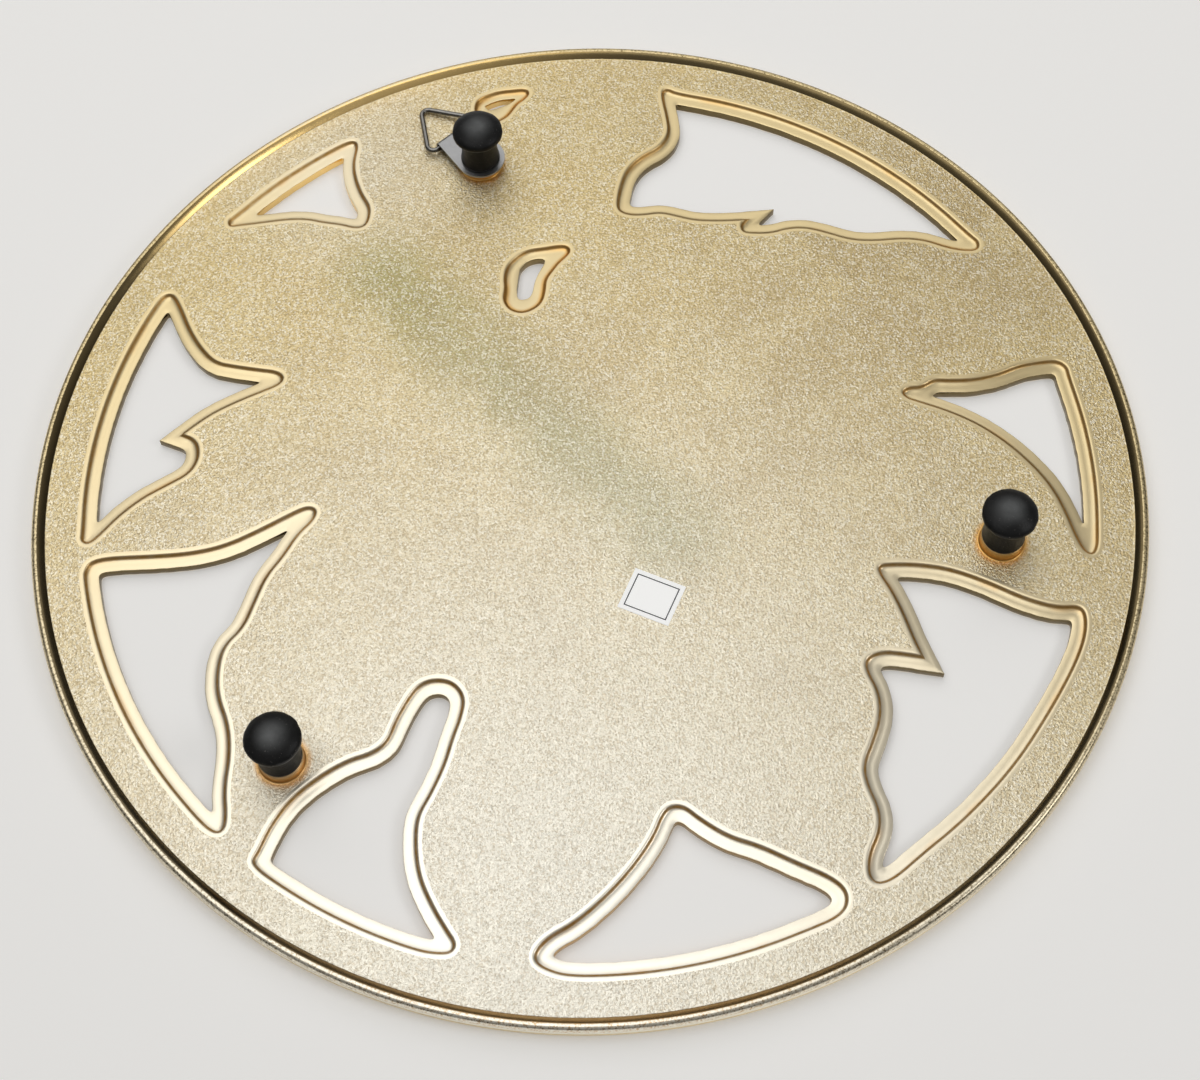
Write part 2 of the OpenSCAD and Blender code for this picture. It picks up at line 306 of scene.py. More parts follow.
def set_world():
    world = bpy.data.worlds.new("soft_room")
    bpy.context.scene.world = world
    world.use_nodes = True
    tree = world.node_tree
    path = tree.nodes.new("ShaderNodeLightPath")
    room = tree.nodes["Background"]
    place = tree.nodes.new("ShaderNodeTexCoord")
    parts = tree.nodes.new("ShaderNodeSeparateXYZ")
    tree.links.new(place.outputs["Generated"], parts.inputs[0])
    height = Wire(tree, parts.outputs["Z"])
    above = height.ramp(0.02, 0.32) * WORLD_ABOVE
    below = (0 - height).ramp(0.25, 0.75) * WORLD_BELOW
    level = above + below + HORIZON_LEVEL
    tree.links.new(level.socket, room.inputs["Strength"])
    room.inputs["Color"].default_value = ROOM_WHITE
    shown = tree.nodes.new("ShaderNodeBackground")
    shown.inputs["Color"].default_value = FLOOR_COLOUR
    shown.inputs["Strength"].default_value = SHOWN_LEVEL
    blend = tree.nodes.new("ShaderNodeMixShader")
    tree.links.new(path.outputs["Is Camera Ray"], blend.inputs[0])
    tree.links.new(room.outputs[0], blend.inputs[1])
    tree.links.new(shown.outputs[0], blend.inputs[2])
    tree.links.new(blend.outputs[0], tree.nodes["World Output"].inputs["Surface"])


set_world()
bpy.context.scene.view_settings.view_transform = "Standard"
print("world above", WORLD_ABOVE, "and below", WORLD_BELOW)

# %% [markdown]
# The casting's openings are ten free outlines. They could be drawn as Bezier curves, but a quadratic
# B-spline needs no handles. Each outline is a list of points, in shares of the plate's radius, that
# pull such a spline, and most close along the rim with an arc. The line that they give is the middle
# of the step round the opening. A point given twice makes a sharp corner.

# %% List the openings
RIM_ARCS = {
    "fin_a": (0.9105, 43.6, 59.6, 4),
    "wing_c": (0.903, 103.6, 146.8, 8),
    "fin_e": (0.909, -4, 28.4, 6),
    "wing_f": (0.909, -41.3, -9.6, 6),
    "sail_g": (0.906, -70, -52.4, 4),
    "sail_h": (0.9085, -111.3, -85.8, 5),
    "fin_j": (0.9105, 169.3, 190.6, 4),
}
OUTLINES = {
    "fin_a": [
        (0.434, 0.798), (0.425, 0.784), (0.433, 0.745), (0.43, 0.708), (0.417, 0.665), (0.4, 0.634),
        (0.401, 0.606), (0.409, 0.587), (0.429, 0.584), (0.454, 0.594), (0.49, 0.601), (0.52, 0.611),
        (0.56, 0.613), (0.61, 0.608), (0.655, 0.604), (0.673, 0.602), (0.674, 0.616),
    ],
    "bud_b": [
        (0.089, 0.907), (0.081, 0.896), (0.092, 0.882), (0.106, 0.872), (0.116, 0.856), (0.127, 0.84),
        (0.143, 0.83), (0.166, 0.821), (0.184, 0.829), (0.19, 0.852), (0.188, 0.877), (0.176, 0.89),
        (0.145, 0.903), (0.115, 0.905),
    ],
    "wing_c": [
        (-0.77, 0.48), (-0.767, 0.462), (-0.745, 0.46), (-0.71, 0.469), (-0.668, 0.49),
        (-0.625, 0.497), (-0.57, 0.494), (-0.525, 0.5), (-0.485, 0.518), (-0.445, 0.533),
        (-0.41, 0.534), (-0.375, 0.524), (-0.342, 0.526), (-0.322, 0.529), (-0.319, 0.546),
        (-0.331, 0.559), (-0.331, 0.559), (-0.31, 0.558), (-0.275, 0.559), (-0.23, 0.563),
        (-0.195, 0.576), (-0.165, 0.586), (-0.135, 0.582), (-0.107, 0.583), (-0.086, 0.593),
        (-0.083, 0.612), (-0.092, 0.654), (-0.106, 0.692), (-0.136, 0.723), (-0.173, 0.742),
        (-0.195, 0.776), (-0.192, 0.822), (-0.186, 0.865), (-0.187, 0.887), (-0.2, 0.889),
    ],
    "drop_d": [
        (0.022, 0.492), (0.036, 0.479), (0.049, 0.461), (0.063, 0.44), (0.065, 0.413), (0.072, 0.388),
        (0.09, 0.373), (0.112, 0.367), (0.133, 0.377), (0.143, 0.398), (0.138, 0.424), (0.14, 0.448),
        (0.134, 0.475), (0.117, 0.495), (0.095, 0.51), (0.065, 0.513), (0.036, 0.517), (0.019, 0.516),
        (0.013, 0.504),
    ],
    "fin_e": [
        (0.786, 0.449), (0.772, 0.446), (0.756, 0.412), (0.738, 0.364), (0.713, 0.32), (0.686, 0.289),
        (0.65, 0.279), (0.605, 0.269), (0.568, 0.262), (0.556, 0.247), (0.566, 0.233), (0.595, 0.221),
        (0.64, 0.202), (0.685, 0.179), (0.718, 0.154), (0.74, 0.135), (0.74, 0.135), (0.72, 0.126),
        (0.709, 0.109), (0.708, 0.08), (0.723, 0.052), (0.76, 0.031), (0.805, 0.006), (0.846, -0.029),
        (0.879, -0.068), (0.896, -0.083), (0.909, -0.076),
    ],
    "wing_f": [
        (0.896, -0.134), (0.887, -0.119), (0.855, -0.113), (0.78, -0.114), (0.71, -0.112),
        (0.65, -0.1), (0.59, -0.072), (0.54, -0.045), (0.505, -0.028), (0.489, -0.036),
        (0.494, -0.056), (0.522, -0.084), (0.545, -0.125), (0.576, -0.166), (0.594, -0.215),
        (0.612, -0.264), (0.644, -0.296), (0.653, -0.34), (0.651, -0.39), (0.63, -0.445),
        (0.625, -0.5), (0.632, -0.56), (0.626, -0.616), (0.633, -0.638), (0.652, -0.634),
    ],
    "sail_g": [
        (0.572, -0.702), (0.58, -0.689), (0.57, -0.672), (0.553, -0.632), (0.522, -0.586),
        (0.475, -0.548), (0.425, -0.52), (0.385, -0.51), (0.358, -0.49), (0.345, -0.453),
        (0.322, -0.41), (0.302, -0.386), (0.275, -0.379), (0.245, -0.387), (0.227, -0.415),
        (0.233, -0.45), (0.249, -0.492), (0.261, -0.535), (0.286, -0.589), (0.308, -0.626),
        (0.311, -0.675), (0.305, -0.73), (0.283, -0.782), (0.26, -0.823), (0.246, -0.845),
        (0.254, -0.86), (0.28, -0.859),
    ],
    "sail_h": [
        (0.103, -0.894), (0.12, -0.88), (0.118, -0.863), (0.096, -0.841), (0.055, -0.821),
        (0.005, -0.782), (-0.045, -0.731), (-0.082, -0.68), (-0.098, -0.643), (-0.113, -0.629),
        (-0.136, -0.631), (-0.16, -0.654), (-0.205, -0.687), (-0.255, -0.705), (-0.31, -0.736),
        (-0.364, -0.763), (-0.389, -0.786), (-0.389, -0.813), (-0.37, -0.832),
    ],
    "wing_i": [
        (-0.505, -0.202), (-0.53, -0.201), (-0.575, -0.204), (-0.63, -0.216), (-0.69, -0.244),
        (-0.75, -0.28), (-0.805, -0.301), (-0.843, -0.3), (-0.852, -0.317), (-0.845, -0.356),
        (-0.823, -0.402), (-0.793, -0.45), (-0.753, -0.507), (-0.704, -0.571), (-0.648, -0.63),
        (-0.582, -0.688), (-0.518, -0.734), (-0.47, -0.772), (-0.44, -0.781), (-0.427, -0.764),
        (-0.433, -0.727), (-0.454, -0.69), (-0.457, -0.652), (-0.442, -0.61), (-0.439, -0.573),
        (-0.459, -0.533), (-0.477, -0.489), (-0.479, -0.443), (-0.462, -0.402), (-0.465, -0.378),
        (-0.495, -0.368), (-0.53, -0.374), (-0.561, -0.381), (-0.561, -0.381), (-0.549, -0.345),
        (-0.538, -0.3), (-0.522, -0.252), (-0.505, -0.218),
    ],
    "fin_j": [
        (-0.892, -0.186), (-0.883, -0.202), (-0.869, -0.195), (-0.858, -0.164), (-0.848, -0.116),
        (-0.832, -0.065), (-0.805, -0.018), (-0.765, 0.032), (-0.718, 0.075), (-0.667, 0.106),
        (-0.618, 0.128), (-0.594, 0.138), (-0.585, 0.152), (-0.601, 0.161), (-0.624, 0.16),
        (-0.647, 0.175), (-0.67, 0.172), (-0.72, 0.17), (-0.77, 0.18), (-0.805, 0.195),
        (-0.845, 0.201), (-0.878, 0.203), (-0.895, 0.189),
    ],
}
print(len(OUTLINES), "openings from", sum(len(p) for p in OUTLINES.values()), "points")

# %% [markdown]
# Eight of the holes follow their border at one distance, so they need no outline. The small bud and
# the drop keep a wide land on one side, so their holes have outlines of their own.

# %% List the two free holes
HOLES = {
    "bud_b": [
        (0.1715, 0.883), (0.14, 0.889), (0.107, 0.8915), (0.113, 0.881), (0.136, 0.872),
        (0.1596, 0.862), (0.17, 0.868),
    ],
    "drop_d": [
        (0.112, 0.464), (0.108, 0.476), (0.098, 0.487), (0.082, 0.4935), (0.068, 0.495),
        (0.061, 0.489), (0.064, 0.481), (0.071, 0.469), (0.078, 0.455), (0.083, 0.441),
        (0.086, 0.426), (0.089, 0.413), (0.095, 0.404), (0.105, 0.401), (0.115, 0.402),
        (0.118, 0.411), (0.116, 0.437),
    ],
}
print("free holes", sorted(HOLES))

# %% [markdown]
# A quadratic B-spline runs through the midpoints of its control points, which makes it easy to work
# out without a curve object. Each span gets as many steps as its length needs, so all the outlines
# end up equally fine.

# %% Turn points into smooth closed loops
STEP_LENGTH = 0.45 * MM


def rim_controls(radius, start, end, steps):
    """Control points whose B-spline runs along an arc of the rim."""
    pull = radius / math.cos(math.radians((end - start) / steps / 2))
    turns = np.radians(np.linspace(start, end, steps + 1))
    return [(pull * math.cos(t), pull * math.sin(t)) for t in turns]


def spline_loop(controls):
    """Points of the closed curve, and which of them are sharp corners."""
    p = np.array(controls) * PLATE_R
    points, sharp = [], []
    for i in range(len(p)):
        a, b, c = p[i], p[(i + 1) % len(p)], p[(i + 2) % len(p)]
        if (a == b).all():
            points.append(b)
            sharp.append(True)
            continue
        end = b if (b == c).all() else (b + c) / 2
        steps = max(2, math.ceil(np.linalg.norm(end - (a + b) / 2) / STEP_LENGTH))
        for k in range(steps):
            t = k / steps
            points.append((1 - t) ** 2 * (a + b) / 2 + 2 * t * (1 - t) * b + t * t * end)
            sharp.append(False)
    return np.array(points), np.array(sharp)


loops = {}
for name, shares in OUTLINES.items():
    start = rim_controls(*RIM_ARCS[name]) if name in RIM_ARCS else []
    loops[name] = spline_loop(start + shares)
print({name: len(points) for name, (points, sharp) in loops.items()})

# %% [markdown]
# The step round an opening is the same section all the way, so its edges are lines at a fixed
# distance from the outline. The inset operator could give them, but it makes such a line cross
# itself in a narrow tip. So each point is instead set back, again and again, to the wanted distance
# from whichever stretch of the outline is nearest, and in a tip the points settle where both sides
# are equally far away.


# %% Set points back to a distance from the outline
TINY = 1e-9
WRONG_SIDE = -0.05


def edge_normals(points):
    """Unit normal of each edge, away from the opening."""
    edge = np.roll(points, -1, axis=0) - points
    normal = np.stack([edge[:, 1], -edge[:, 0]], axis=1)
    return normal / np.linalg.norm(normal, axis=1, keepdims=True)


def nearest_gap(points, places):
    """The way to each place from the nearest spot on the outline, and the edge that it starts on."""
    edge = np.roll(points, -1, axis=0) - points
    rel = places[:, None, :] - points[None]
    share = np.clip((rel * edge).sum(2) / (edge**2).sum(1), 0, 1)
    gap = rel - share[..., None] * edge
    nearest = (gap**2).sum(2).argmin(1)
    return gap[np.arange(len(places)), nearest], nearest


def set_back(points, normals, moved, distance):
    """Every moved point goes to that distance from the nearest place on the outline."""
    away, nearest = nearest_gap(points, moved)
    foot = moved - away
    length = np.maximum(np.linalg.norm(away, axis=1, keepdims=True), TINY)
    away = away / length
    side = (away * normals[nearest]).sum(1) * np.sign(distance)
    away = np.where(side[:, None] < WRONG_SIDE, -away, away)
    return foot + abs(distance) * away


print("points can be set back to a distance from the outline")

# %% [markdown]
# A loop is moved sideways in small steps, and its points settle after each of them. What little
# still crosses itself afterwards is drawn together at the crossing. On the inside of a sharp corner
# the line keeps its corner, which is found along the mitre.

# %% Move a loop sideways without letting it cross itself
SETTLE_ROUNDS = 30
SETTLED = 0.0005 * MM
SIDE_STEP = 0.3 * MM
CROSS_REACH = 60
PARALLEL = 1e-18


def untangle(points):
    """Where a short stretch of a loop crosses itself, its points gather at the crossing."""
    points = points.copy()
    count = len(points)
    for reach in range(2, CROSS_REACH):
        a, b = points, np.roll(points, -1, axis=0)
        c, d = np.roll(points, -reach, axis=0), np.roll(points, -reach - 1, axis=0)
        r, s, q = b - a, d - c, c - a
        cross = r[:, 0] * s[:, 1] - r[:, 1] * s[:, 0]
        cross = np.where(np.abs(cross) < PARALLEL, PARALLEL, cross)
        t = (q[:, 0] * s[:, 1] - q[:, 1] * s[:, 0]) / cross
        u = (q[:, 0] * r[:, 1] - q[:, 1] * r[:, 0]) / cross
        for i in np.nonzero((t > 0) & (t < 1) & (u > 0) & (u < 1))[0]:
            points[[(i + k) % count for k in range(1, reach + 1)]] = a[i] + t[i] * r[i]
    return points


def side_loops(points, sharp, distances):
    """The loops at those distances, in order away from the outline, on one side of it."""
    normals = edge_normals(points)
    bisector = normals + np.roll(normals, 1, axis=0)
    bisector /= np.linalg.norm(bisector, axis=1, keepdims=True)
    mitre = bisector / (bisector * normals).sum(1, keepdims=True)
    found, moved, reached = [], points.copy(), 0.0
    for distance in distances:
        steps = max(1, math.ceil(abs(distance - reached) / SIDE_STEP - 1e-6))
        for level in np.linspace(reached, distance, steps + 1)[1:]:
            moved = moved + (level - reached) * bisector
            reached = level
            loose = np.arange(len(points))
            for _ in range(SETTLE_ROUNDS):
                settled = set_back(points, normals, moved[loose], level)
                shift = np.linalg.norm(settled - moved[loose], axis=1)
                moved[loose] = settled
                loose = loose[shift > SETTLED]
                if not len(loose):
                    break
            if level < 0:
                moved[sharp] = points[sharp] + level * mitre[sharp]
        found.append(untangle(moved))
    return found


print("loops are moved in steps of", SIDE_STEP / MM, "mm")

# %% [markdown]
# The section of the step, from the grained field inwards: a smooth margin, a rounded shoulder, a
# sloping wall, a hollow fillet and a flat land that ends at the hole. A Bevel modifier would round
# the edges alike, but here every edge has its own roundness. On the top face the same outlines carry
# a low raised border.

# %% Set out the section of the border
# Each row is the distance from the outline, outwards, and the depth of the step there, in mm.
OUTER_SECTION = [(0.04, 0.26), (0.16, 0.12), (0.32, 0.035), (0.55, 0.0), (0.8, 0.0), (1.25, 0.0)]
INNER_SECTION = [(-0.08, 0.43), (-0.2, 0.56), (-0.4, 0.66), (-0.65, 0.73), (-0.95, 0.775), (-1.3, 0.8)]
TOP_SECTION = [
    (0.95, 0.0), (1.1, -0.03), (1.25, -0.16), (1.4, -0.38), (1.55, -0.54), (1.72, -0.6),
]
BORDER_EDGE = 1.2
RAISED_EDGE = 1.7
NO_STEP = 3.0
print("step of", round((LAND_Z - UNDER_Z) / MM, 2), "mm in", len(OUTER_SECTION + INNER_SECTION), "lines")

# %% [markdown]
# Every hole is cut a little unevenly, because thin flash breaks away from its edge after casting. A
# smooth line would look stamped. The hole follows the border inwards, its tips are softened, and
# slow noise makes it wander by less than a tenth of a millimetre.


# %% Find the edge of each hole
HOLE_INSET = -2.3 * MM
HOLE_SPACING = 0.3 * MM
HOLE_KEEP = 1.52 * MM
KEEP_ROUNDS = 6
SMOOTH_PASSES = 8
RAGGED = 0.07 * MM
RAGGED_SIZE = 1.6 * MM
SHORTEST = 0.02 * MM
FEWEST_POINTS = 24


def smooth_loop(points, pinned, passes):
    """Softens a loop's corners, except the pinned ones."""
    for _ in range(passes):
        mean = (np.roll(points, 1, axis=0) + np.roll(points, -1, axis=0)) / 2
        points = np.where(pinned[:, None], points, (points + mean) / 2)
    return points


def even_loop(points, spacing):
    """The loop with its points spaced evenly along it."""
    keep = np.linalg.norm(np.roll(points, -1, axis=0) - points, axis=1) > SHORTEST
    points = points[keep]
    length = np.linalg.norm(np.roll(points, -1, axis=0) - points, axis=1)
    along = np.concatenate([[0], np.cumsum(length)])
    closed = np.vstack([points, points[:1]])
    count = max(FEWEST_POINTS, round(along[-1] / spacing))
    places = np.linspace(0, along[-1], count, endpoint=False)
    return np.stack([np.interp(places, along, closed[:, k]) for k in (0, 1)], axis=1)


def keep_off(points, hole):
    """Moves a hole's points inwards where they come too close to the outline."""
    for _ in range(KEEP_ROUNDS):
        away, nearest = nearest_gap(points, hole)
        length = np.linalg.norm(away, axis=1, keepdims=True)
        hole = hole + away / length * np.maximum(HOLE_KEEP - length, 0)
    return hole


def hole_loop(name, points, sharp):
    if name in HOLES:
        hole = keep_off(points, even_loop(spline_loop(HOLES[name])[0], HOLE_SPACING))
    else:
        inset = side_loops(points, sharp, [HOLE_INSET])[0]
        hole = even_loop(inset, HOLE_SPACING)
        spikes = np.zeros(len(hole), bool)
        for corner in inset[sharp]:
            nearest = np.linalg.norm(hole - corner, axis=1).argmin()
            hole[nearest] = corner
            spikes[nearest] = True
        hole = smooth_loop(hole, spikes, SMOOTH_PASSES)
    normals = edge_normals(hole)
    normals = (normals + np.roll(normals, 1, axis=0)) / 2
    drift = [noise.noise(Vector((x, y, 0)) / RAGGED_SIZE) for x, y in hole]
    return untangle(hole + normals * np.array(drift)[:, None] * RAGGED), normals


holes = {name: hole_loop(name, *loops[name]) for name in loops}
print("hole points", sum(len(points) for points, normals in holes.values()))

# %% [markdown]
# The flat faces between two outlines have different points on their two sides, so they are
# triangulated. Blender's Fill operator would do for one hole, but it loses its way among so many
# nested outlines, and a Delaunay triangulation doesn't. That one fills the holes too, so only the
# triangles between the outlines are kept.


# %% Fill the flat region between outlines
SAME_HEIGHT = 0.001 * MM
SAME_PLACE = 1e-9


def deselect():
    if bpy.context.object and bpy.context.object.mode != "OBJECT":
        bpy.ops.object.mode_set(mode="OBJECT")
    bpy.ops.object.select_all(action="DESELECT")


def activate(piece):
    deselect()
    piece.select_set(True)
    bpy.context.view_layer.objects.active = piece


def inside(places, starts, ends):
    """Which places have an odd number of edges to their right, so lie between the outlines."""
    x, y = places[:, :1], places[:, 1:]
    spans = (starts[:, 1] > y) != (ends[:, 1] > y)
    rise = np.where(ends[:, 1] == starts[:, 1], 1.0, ends[:, 1] - starts[:, 1])
    cut = starts[:, 0] + (y - starts[:, 1]) / rise * (ends[:, 0] - starts[:, 0])
    return (spans & (x < cut)).sum(1) % 2 == 1


def fill_between(piece, height):
    """Lays triangles over the flat region that the open edges at that height enclose."""
    mesh = bmesh.new()
    mesh.from_mesh(piece.data)
    edges = [edge for edge in mesh.edges if edge.is_boundary]
    rims = [edge for edge in edges if all(abs(v.co.z - height) < SAME_HEIGHT for v in edge.verts)]
    corners = list({v for edge in rims for v in edge.verts})
    corners.sort(key=lambda v: v.index)
    order = {v: k for k, v in enumerate(corners)}
    pairs = [(order[e.verts[0]], order[e.verts[1]]) for e in rims]
    at = [v.co.xy for v in corners]
    flat, _, faces, sources, _, _ = delaunay_2d_cdt(at, pairs, [], 0, SAME_PLACE)
    made = [
        corners[found[0]] if found else mesh.verts.new((*place, height))
        for place, found in zip(flat, sources)
    ]
    at = np.array(at)
    middles = np.array([[sum(flat[k][axis] for k in face) / 3 for axis in (0, 1)] for face in faces])
    starts, ends = at[[a for a, b in pairs]], at[[b for a, b in pairs]]
    for face, wanted in zip(faces, inside(middles, starts, ends)):
        if wanted:
            mesh.faces.new([made[k] for k in face])
    mesh.to_mesh(piece.data)
    mesh.free()


print("flat regions are filled at one height")

# %% [markdown]
# One opening's border is then a set of strips between neighbouring lines: the step on the underside,
# the wall of the hole with its rounded edges, and the raised border on top. Bridge Edge Loops joins
# such lines by hand, but it guesses which points belong together, and here their order says it. Each
# line carries three marks for the finish: where the metal is polished, how far it lies from the
# middle of the step, and where shade is painted on it, which is on the wall of the hole.


# %% Build the border of an opening
MARKS = ("polish", "step_side", "painted_shade")
EDGE_ROUND = 0.16 * MM
SOFTER = 0.3


def border_rows(name):
    """The lines round an opening, from the field to the top face, each with its height and marks."""
    points, sharp = loops[name]
    outer = side_loops(points, sharp, [d * MM for d, depth in OUTER_SECTION])
    inner = side_loops(points, sharp, [d * MM for d, depth in INNER_SECTION])
    section = list(zip(outer, OUTER_SECTION))[::-1] + list(zip(inner, INNER_SECTION))
    step = [
        (line, UNDER_Z + depth * MM, (float(d < BORDER_EDGE), d, 0.0)) for line, (d, depth) in section
    ]
    hole, normals = holes[name]
    rounded = untangle(hole + normals * EDGE_ROUND)
    # The wall of the hole is marked for painted shade, full on its upright face and fading over its
    # rounded edges.
    wall = [
        (rounded, LAND_Z, 0.0),
        (hole + normals * EDGE_ROUND * SOFTER, LAND_Z + EDGE_ROUND * SOFTER, SOFTER),
        (hole, LAND_Z + EDGE_ROUND, 1.0),
        (hole, CREST_Z - EDGE_ROUND, 1.0),
        (hole + normals * EDGE_ROUND * SOFTER, CREST_Z - EDGE_ROUND * SOFTER, SOFTER),
        (rounded, CREST_Z, 0.0),
    ]
    wall = [(line, height, (1.0, -NO_STEP, painted_shade)) for line, height, painted_shade in wall]
    lines = side_loops(points, sharp, [d * MM for d, depth in TOP_SECTION])
    raised = [
        (line, CREST_Z + depth * MM, (float(d < RAISED_EDGE), NO_STEP, 0.0))
        for line, (d, depth) in zip(lines, TOP_SECTION)
    ]
    return [step, wall, raised]


def make_border(name):
    verts, faces, marks = [], [], []
    for rows in border_rows(name):
        for k, (line, height, mark) in enumerate(rows):
            first, count = len(verts), len(line)
            verts += [(x, y, height) for x, y in line]
            marks += [mark] * count
            if k:
                last = first - count
                for i in range(count):
                    j = (i + 1) % count
                    faces.append((last + i, last + j, first + j, first + i))
    mesh = bpy.data.meshes.new(name)
    mesh.from_pydata(verts, [], faces)
    for attribute, values in zip(MARKS, zip(*marks)):
        mesh.attributes.new(attribute, "FLOAT", "POINT").data.foreach_set("value", values)
    border = bpy.data.objects.new(name, mesh)
    bpy.context.collection.objects.link(border)
    fill_between(border, LAND_Z)
    fill_between(border, CREST_Z)
    return border


borders = [make_border(name) for name in loops]
print("border faces", sum(len(border.data.polygons) for border in borders))

# %% [markdown]
# Round parts start as a circle that is extruded and resized step by step, like turning a profile
# on a lathe. The Spin tool does the same from a drawn profile, but leaves a seam to merge. The rim
# is such a profile: a hollow sweeps down from the field to a lip, rounds over to the edge, goes
# straight up and rolls into the bead of the top face.


# %% Turn a profile by extruding a circle
def turned(name, place, profile, count):
    """A surface of revolution about a vertical line, from (radius, height) pairs in mm."""
    deselect()
    radius, height = profile[0]
    centre = Vector((place.x, place.y, height * MM))
    bpy.ops.mesh.primitive_circle_add(vertices=count, radius=radius * MM, location=centre)
    piece = bpy.context.object
    piece.name = name
    bpy.ops.object.transform_apply(location=True, rotation=True, scale=True)
    bpy.ops.object.mode_set(mode="EDIT")
    bpy.ops.mesh.select_mode(type="EDGE")
    bpy.ops.mesh.select_all(action="SELECT")
    for next_radius, next_height in profile[1:]:
        rise = (0, 0, (next_height - height) * MM)
        bpy.ops.mesh.extrude_region_move(TRANSFORM_OT_translate={"value": rise})
        centre.z = next_height * MM
        size = next_radius / radius
        bpy.ops.transform.resize(value=(size, size, 1), center_override=centre)
        radius, height = next_radius, next_height
    bpy.ops.object.mode_set(mode="OBJECT")
    return piece


RIM_STEPS = 360
EDGE_INSIDE = 0.02
# Each pair is the distance in from the edge and the height, in mm.
RIM_SECTION = [
    (3.4, 12.0), (2.65, 12.0), (2.45, 11.99), (2.35, 11.95), (2.25, 11.84), (1.9, 11.5), (1.5, 11.18),
    (1.25, 11.02), (1.1, 10.95), (0.95, 10.92), (0.8, 10.91), (0.62, 10.94), (0.4, 11.05),
    (0.18, 11.26), (0.05, 11.52), (0, 11.8), (0, 13.75), (0.06, 14.05), (0.22, 14.32), (0.48, 14.52),
    (0.8, 14.6), (1.15, 14.56), (1.5, 14.42), (1.85, 14.2), (2.2, 14.05), (2.5, 14.0), (3.1, 14.0),
]
edge = PLATE_R / MM - EDGE_INSIDE
rim_profile = [(edge - inwards, height) for inwards, height in RIM_SECTION]
rim = turned("rim", Vector((0, 0, 0)), rim_profile, RIM_STEPS)
print("rim faces", len(rim.data.polygons))

# %% [markdown]
# Each foot sits on a cast boss, and a peg stands up from the boss inside the rubber. Boss and peg are
# part of the casting, so they are open where they meet the plate and are joined to it below, not
# just pushed in. The boss is shallower under the strap, whose sheet lies between it and the foot.

# %% Turn the bosses and their pegs
BOSS_R = 3.88
BOSS_STEPS = 72
STRAP_GAP = 0.52
PEG_INSIDE = 0.1


def boss_profile(face):
    peg, end = PEG_R / MM, (FOOT_H - PEG_L) / MM + PEG_INSIDE
    return [
        (BOSS_R + 0.8, 12.0), (BOSS_R + 0.4, 12.0), (BOSS_R + 0.22, 11.97), (BOSS_R + 0.1, 11.89),
        (BOSS_R + 0.03, 11.77), (BOSS_R, 11.6), (BOSS_R, face + 0.16), (BOSS_R - 0.05, face + 0.05),
        (BOSS_R - 0.14, face), (peg, face), (peg, end + 0.15), (peg - 0.15, end), (0.3, end),
    ]


bosses = []
for name in FEET:
    face = FOOT_H / MM + (STRAP_GAP if name == "foot_back" else 0)
    boss = turned(f"boss_of_{name}", foot_place(name), boss_profile(face), BOSS_STEPS)
    activate(boss)
    bpy.ops.object.mode_set(mode="EDIT")
    bpy.ops.mesh.edge_face_add()
    bpy.ops.object.mode_set(mode="OBJECT")
    bosses.append(boss)
print("bosses", len(bosses))

# %% [markdown]
# The borders, the rim and the bosses become one mesh, and the same triangulation lays the two wide
# faces between them. A Boolean could unite separate solids, but it is slow on outlines as fine as
# these. Merging the doubles closes the seams, so the casting is one closed skin.


# %% Join the casting
MERGED = 0.002 * MM


def join(name, pieces):
    deselect()
    for piece in pieces:
        piece.select_set(True)
    bpy.context.view_layer.objects.active = pieces[0]
    bpy.ops.object.join()
    joined = bpy.context.object
    joined.name = name
    joined.data.name = name
    return joined


def close_skin(piece):
    activate(piece)
    bpy.ops.object.mode_set(mode="EDIT")
    bpy.ops.mesh.select_all(action="SELECT")
    bpy.ops.mesh.remove_doubles(threshold=MERGED)
    bpy.ops.mesh.dissolve_degenerate(threshold=MERGED)
    bpy.ops.mesh.normals_make_consistent(inside=False)
    bpy.ops.object.mode_set(mode="OBJECT")


def open_edges(piece):
    mesh = bmesh.new()
    mesh.from_mesh(piece.data)
    count = sum(not edge.is_manifold for edge in mesh.edges)
    mesh.free()
    return count


casting = join("casting", borders + [rim] + bosses)
fill_between(casting, UNDER_Z)
fill_between(casting, TOP_Z)
close_skin(casting)
print("casting faces", len(casting.data.polygons), "open edges", open_edges(casting))

# %% [markdown]
# The finish has to know where the metal is smooth and where shade is painted on it. The borders
# already carry their marks, and the rim and the bosses get theirs by place: everything that stands
# off the field is polished, and the hollow behind the rim's lip, the lip and the crease before the
# hollow get painted shade.

# %% Mark the polished rim and bosses, and the painted shade on the rim
CREASE_IN = 2.4 * MM
COVE_IN = 2.3 * MM
LIP_IN = 1.2 * MM
CREASE_SHADE = 0.5
LIP_SHADE = 0.42
BOSS_POLISH = 0.3
OFF_FIELD = 0.02 * MM
CASTING_SMOOTH = math.radians(38)

points = np.array([v.co for v in casting.data.vertices])
inwards = PLATE_R - np.hypot(points[:, 0], points[:, 1])
marks = {name: np.zeros(len(points)) for name in MARKS}
for name, values in marks.items():
    casting.data.attributes[name].data.foreach_get("value", values)
marks["polish"][inwards < CREASE_IN] = 1
marks["step_side"][marks["step_side"] == 0] = NO_STEP
below = points[:, 2] < UNDER_Z - OFF_FIELD
